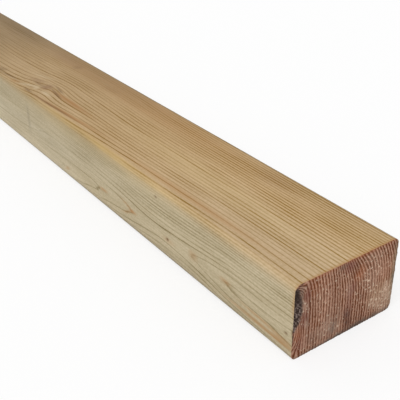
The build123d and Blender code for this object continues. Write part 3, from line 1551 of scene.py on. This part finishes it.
@dataclass(frozen=True)
class PlanedFace:
    """The finish of the long faces: planed softwood, dry and unfinished."""

    rings: RingLines
    fibre: Fibre
    top_light: Colour = srgb(211, 185, 150)
    top_dark: Colour = srgb(140, 104, 0)
    side_light: Colour = srgb(209, 196, 168)
    side_dark: Colour = srgb(114, 96, 36)
    golden: Colour = (0.95, 0.89, 0.77, 1.0)
    # Yellow, orange and grey also paint highlights along the top arris and the near end's top edge, and
    # shade at the side face's foot.
    casts: Casts = Casts(
        orange=srgb(176, 130, 78), yellow=srgb(206, 178, 118), pale=srgb(216, 197, 166),
        purple=srgb(144, 110, 84), grey=srgb(124, 114, 98), dark=srgb(102, 70, 28),
    )
    waver: float = 0.3
    ring_tones: Pair = (0.75, 1.2)
    blotch_tones: Pair = (1.25, 0.75)
    mottle: tuple[tuple[str, float], ...] = (("Streak", 0.18), ("Fuzz", 0.17), ("Blotch", 0.115))
    streak_fray: Pair = (0.7, 1.3)
    blotch_fray: Pair = (0.7, 1.1)
    raised: float = 0.5
    summer_roughness: float = 0.68
    winter_roughness: float = 0.54
    specular: float = 0.3
    bump: float = 0.12
    bump_height: float = 0.0002

    def make(self) -> bpy.types.Material:
        """Makes the material.

        Returns:
            The material of the planed faces.
        """
        material = bpy.data.materials.new("planed_softwood")
        material.use_nodes = True
        bench = Bench(material.node_tree)
        place = bench.place()
        side = bench.carried("side_share")
        feeds = {"Place": place, "Count": bench.carried("ring_count"), "Waver": self.waver}
        lines = self.rings.use(bench, {**feeds, "Line share": bench.carried("line_share")})
        fibre = self.fibre.use(bench, {"Place": place})
        light = bench.mix(side, self.top_light, self.side_light)
        dark = bench.mix(side, self.top_dark, self.side_dark)
        strength = bench.lerp(lines["Tone"], *self.ring_tones)
        depth = bench.times(bench.carried("line_strength"), strength)
        depth = bench.times(depth, bench.lerp(fibre["Blotch"], *self.blotch_tones))
        grain = bench.times(lines["Winter"], depth)
        for effect, gain in self.mottle:
            grain = bench.plus(grain, bench.lerp(fibre[effect], gain, 0.0))
        wood = bench.mix(grain, light, dark)
        torn = bench.lerp(fibre["Streak"], *self.streak_fray)
        frayed = bench.times(bench.lerp(fibre["Blotch"], *self.blotch_fray), torn)
        wood = self.casts.lay_over(bench, "skin", wood, frayed)
        wood = bench.mix(1.0, wood, bench.carried("tone"), "MULTIPLY")
        wood = bench.mix(bench.carried("warmth"), wood, bench.mix(1.0, wood, self.golden, "MULTIPLY"))
        height = bench.plus(bench.times(lines["Winter"], self.raised), fibre["Streak"])
        feeds = {"Strength": self.bump, "Distance": self.bump_height, "Height": height}
        bump = bench.node("ShaderNodeBump", feeds).outputs["Normal"]
        rough = bench.lerp(lines["Winter"], self.summer_roughness, self.winter_roughness)
        feeds = {"Base Color": wood, "Roughness": rough, "Normal": bump}
        surface = bench.node("ShaderNodeBsdfPrincipled", {**feeds, "Specular IOR Level": self.specular})
        bench.node("ShaderNodeOutputMaterial", {"Surface": surface.outputs[0]})
        return material


@dataclass(frozen=True)
class SawnEnd:
    """The finish of the ends: rough sawn end grain, weathered red-brown and stained."""

    rings: RingLines
    light: Colour = srgb(205, 161, 137)
    dark: Colour = srgb(106, 56, 24)
    # Pale torn fibre at the sawn end, partly a painted highlight on the fuzz.
    fleck: Colour = srgb(240, 218, 192)
    rotten: Colour = srgb(66, 51, 44)
    ash: Colour = srgb(152, 133, 124)
    # Yellow and grey also paint light and shade on the near end's rounded +Y edge, and dark a shadow under
    # its top edge.
    casts: Casts = Casts(
        orange=srgb(172, 100, 62), yellow=srgb(174, 148, 112), pale=srgb(214, 180, 156),
        purple=srgb(118, 70, 66), grey=srgb(108, 96, 86), dark=srgb(62, 32, 26),
    )
    dash_size: Triple = (1.8, 1.8, 7.0)
    grit_size: Triple = (1.0, 1.0, 1.8)
    spot_size: Triple = (1.25, 1.25, 1.5)
    ash_size: Triple = (1.0, 1.0, 1.0)
    blotch_size: Triple = (9.0, 5.0, 8.0)
    waver: float = 0.4
    line_share: float = 0.68
    ring_tones: Pair = (0.8, 1.1)
    dash_limits: Pair = (0.3, 0.65)
    dash_tones: Pair = (0.72, 1.1)
    grit_gain: float = 0.46
    band_gain: float = 0.09
    fleck_limits: Pair = (0.65, 0.75)
    fleck_gain: float = 0.15
    fleck_shares: Pair = (0.45, 1.4)
    blotch_fray: Pair = (0.45, 1.15)
    grit_fray: Pair = (0.6, 1.3)
    ash_limits: Pair = (0.46, 0.64)
    raised: float = 0.8
    roughness: float = 0.85
    specular: float = 0.2
    bump: float = 0.5
    bump_height: float = 0.0004

    def flecked(self, bench: Bench, place: Value, wood: Value) -> Socket:
        """Lays pale flecks of torn fibre, partly painted highlight: more, and plainer, where it is pale.

        Args:
            bench: The material's node bench.
            place: The place on the piece.
            wood: The colour of the bare wood.

        Returns:
            The flecked colour.
        """
        pale = bench.carried("end_pale")
        spots = bench.noise(place, self.spot_size, 0.5)
        spots = bench.plus(spots, bench.times(pale, self.fleck_gain))
        flecks = bench.ramp(spots, *self.fleck_limits)
        share = bench.times(flecks, bench.lerp(pale, *self.fleck_shares))
        return bench.mix(share, wood, self.fleck)

    def rotted(self, bench: Bench, place: Value, wood: Value) -> Socket:
        """Lays the hollow's rot and ashen crumbs over the wood, as far as the surface carries them.

        Args:
            bench: The material's node bench.
            place: The place on the piece.
            wood: The colour of the sound wood.

        Returns:
            The colour with the rot.
        """
        ashes = bench.ramp(bench.noise(place, self.ash_size), *self.ash_limits)
        rotten = bench.mix(bench.times(ashes, bench.carried("crumbs")), self.rotten, self.ash)
        return bench.mix(bench.carried("rot"), wood, rotten)

    def make(self) -> bpy.types.Material:
        """Makes the material.

        Returns:
            The material of the sawn ends.
        """
        material = bpy.data.materials.new("sawn_end_grain")
        material.use_nodes = True
        bench = Bench(material.node_tree)
        place = bench.place()
        feeds = {"Place": place, "Count": bench.carried("end_count"), "Waver": self.waver}
        lines = self.rings.use(bench, {**feeds, "Line share": self.line_share})
        strength = bench.lerp(lines["Tone"], *self.ring_tones)
        strength = bench.times(strength, bench.carried("end_strength"))
        dashes = bench.ramp(bench.noise(place, self.dash_size, 1.0), *self.dash_limits)
        strength = bench.times(strength, bench.lerp(dashes, *self.dash_tones))
        grit = bench.noise(place, self.grit_size, 3.0)
        grain = bench.times(lines["Winter"], strength)
        grain = bench.plus(grain, bench.lerp(bench.ramp(grit, *NEARLY_ALL), self.grit_gain, 0.0))
        grain = bench.plus(grain, bench.lerp(lines["Band"], 0.0, self.band_gain))
        wood = self.flecked(bench, place, bench.mix(grain, self.light, self.dark))
        blotch = bench.noise(place, self.blotch_size, 3.0)
        torn = bench.lerp(bench.ramp(grit, *MOST), *self.grit_fray)
        frayed = bench.times(bench.lerp(bench.ramp(blotch, *MOST), *self.blotch_fray), torn)
        wood = self.casts.lay_over(bench, "end", wood, frayed)
        wood = self.rotted(bench, place, wood)
        height = bench.plus(bench.times(lines["Winter"], self.raised), grit)
        feeds = {"Strength": self.bump, "Distance": self.bump_height, "Height": height}
        bump = bench.node("ShaderNodeBump", feeds).outputs["Normal"]
        feeds = {"Base Color": wood, "Roughness": self.roughness, "Normal": bump}
        surface = bench.node("ShaderNodeBsdfPrincipled", {**feeds, "Specular IOR Level": self.specular})
        bench.node("ShaderNodeOutputMaterial", {"Surface": surface.outputs[0]})
        return material


@dataclass(frozen=True)
class Studio:
    """A plain pale floor, soft even light and the camera."""

    camera_at: Triple = (198.3, -228.9, 250.6)
    yaw: float = 144.618
    pitch: float = -30.136
    roll: float = -0.694
    focal_pixels: float = 745.7
    image_pixels: float = 400.0
    sensor: float = 36.0
    floor_half: float = 40.0
    floor_colour: Colour = (0.8, 0.8, 0.8, 1.0)
    sky: float = 0.62
    sun: float = 1.35
    sun_from: Triple = (0.25, -0.55, 0.8)
    sun_spread: float = 50.0
    floor_glow: float = 0.7

    def camera(self, near_x: float) -> None:
        """Stands the camera where it sees the plank as photographed.

        Args:
            near_x: Where the near end stands along X, in millimetres.
        """
        lens = bpy.data.cameras.new("view")
        lens.sensor_width = self.sensor
        lens.lens = self.focal_pixels / self.image_pixels * self.sensor
        lens.clip_start = 0.01
        eye = bpy.data.objects.new("view", lens)
        yaw, pitch, roll = np.radians([self.yaw, self.pitch, self.roll])
        ahead = Vector((np.cos(pitch) * np.cos(yaw), np.cos(pitch) * np.sin(yaw), np.sin(pitch)))
        level = ahead.cross(Vector((0, 0, 1))).normalized()
        above = level.cross(ahead)
        right = level * float(np.cos(roll)) + above * float(np.sin(roll))
        top = above * float(np.cos(roll)) - level * float(np.sin(roll))
        turned = Matrix((right, top, -ahead)).transposed().to_4x4()
        spot = Vector(self.camera_at) + Vector((near_x, 0, 0))
        eye.matrix_world = Matrix.Translation(spot * MM) @ turned
        bpy.context.scene.collection.objects.link(eye)
        bpy.context.scene.camera = eye

    def floor(self) -> None:
        """Lays the floor, which the camera sees as nearly white with the plank's shadow on it."""
        half = self.floor_half
        corners = [(-half, -half, 0), (half, -half, 0), (half, half, 0), (-half, half, 0)]
        mesh = bpy.data.meshes.new("floor")
        mesh.from_pydata(corners, [], [(0, 1, 2, 3)])
        plate = bpy.data.objects.new("floor", mesh)
        material = bpy.data.materials.new("floor")
        material.use_nodes = True
        bench = Bench(material.node_tree)
        seen = bench.node("ShaderNodeLightPath").outputs["Is Camera Ray"]
        colour = bench.mix(seen, self.floor_colour, (1, 1, 1, 1))
        matt = bench.node("ShaderNodeBsdfDiffuse", {"Color": colour})
        glow = bench.node("ShaderNodeEmission", {"Color": (1, 1, 1, 1), "Strength": 1.0})
        share = bench.times(seen, self.floor_glow)
        mixed = bench.node("ShaderNodeMixShader", {0: share, 1: matt.outputs[0], 2: glow.outputs[0]})
        bench.node("ShaderNodeOutputMaterial", {"Surface": mixed.outputs[0]})
        mesh.materials.append(material)
        bpy.context.scene.collection.objects.link(plate)

    def light(self) -> None:
        """Lights the plank from a plain white sky and one wide soft lamp."""
        world = bpy.data.worlds.new("sky")
        world.use_nodes = True
        bench = Bench(world.node_tree)
        path = bench.node("ShaderNodeLightPath").outputs
        strength = bench.lerp(path["Is Camera Ray"], self.sky, 1.0)
        sky = bench.node("ShaderNodeBackground", {"Color": (1, 1, 1, 1), "Strength": strength})
        bench.node("ShaderNodeOutputWorld", {"Surface": sky.outputs[0]})
        bpy.context.scene.world = world
        lamp = bpy.data.lights.new("soft_lamp", "SUN")
        lamp.energy = self.sun
        lamp.angle = float(np.radians(self.sun_spread))
        lamp_object = bpy.data.objects.new("soft_lamp", lamp)
        lamp_object.rotation_mode = "QUATERNION"
        lamp_object.rotation_quaternion = Vector(self.sun_from).to_track_quat("Z", "Y")
        bpy.context.scene.collection.objects.link(lamp_object)

    def set_up(self, near_x: float) -> None:
        """Puts up the camera, the floor and the light, and keeps colours as they are written.

        Args:
            near_x: Where the near end stands along X, in millimetres.
        """
        self.camera(near_x)
        self.floor()
        self.light()
        bpy.context.scene.view_settings.view_transform = "Standard"


def main() -> None:
    """Builds the plank in place of its CAD node, dresses it and sets up the studio."""
    logging.basicConfig(level=logging.INFO, format="%(message)s")
    low, high = (corner * PER_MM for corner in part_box("plank"))
    section = Section(width=high.y - low.y, thickness=high.z - low.z)
    growth = Growth(section, FaceKnot(), KnotRings(section))
    timber = Timber(section, high.x - low.x, near_x=high.x, growth=growth, hollow=EndHollow(section))
    plank = timber.build("timber_plank")
    rings = RingLines()
    plank.data.materials.append(PlanedFace(rings, Fibre()).make())
    plank.data.materials.append(SawnEnd(rings).make())
    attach(plank, "root")
    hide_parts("plank")
    plank.data.calc_loop_triangles()
    log.info("%s: %d triangles", plank.name, len(plank.data.loop_triangles))
    Studio().set_up(high.x)


if __name__ == "__main__":
    main()
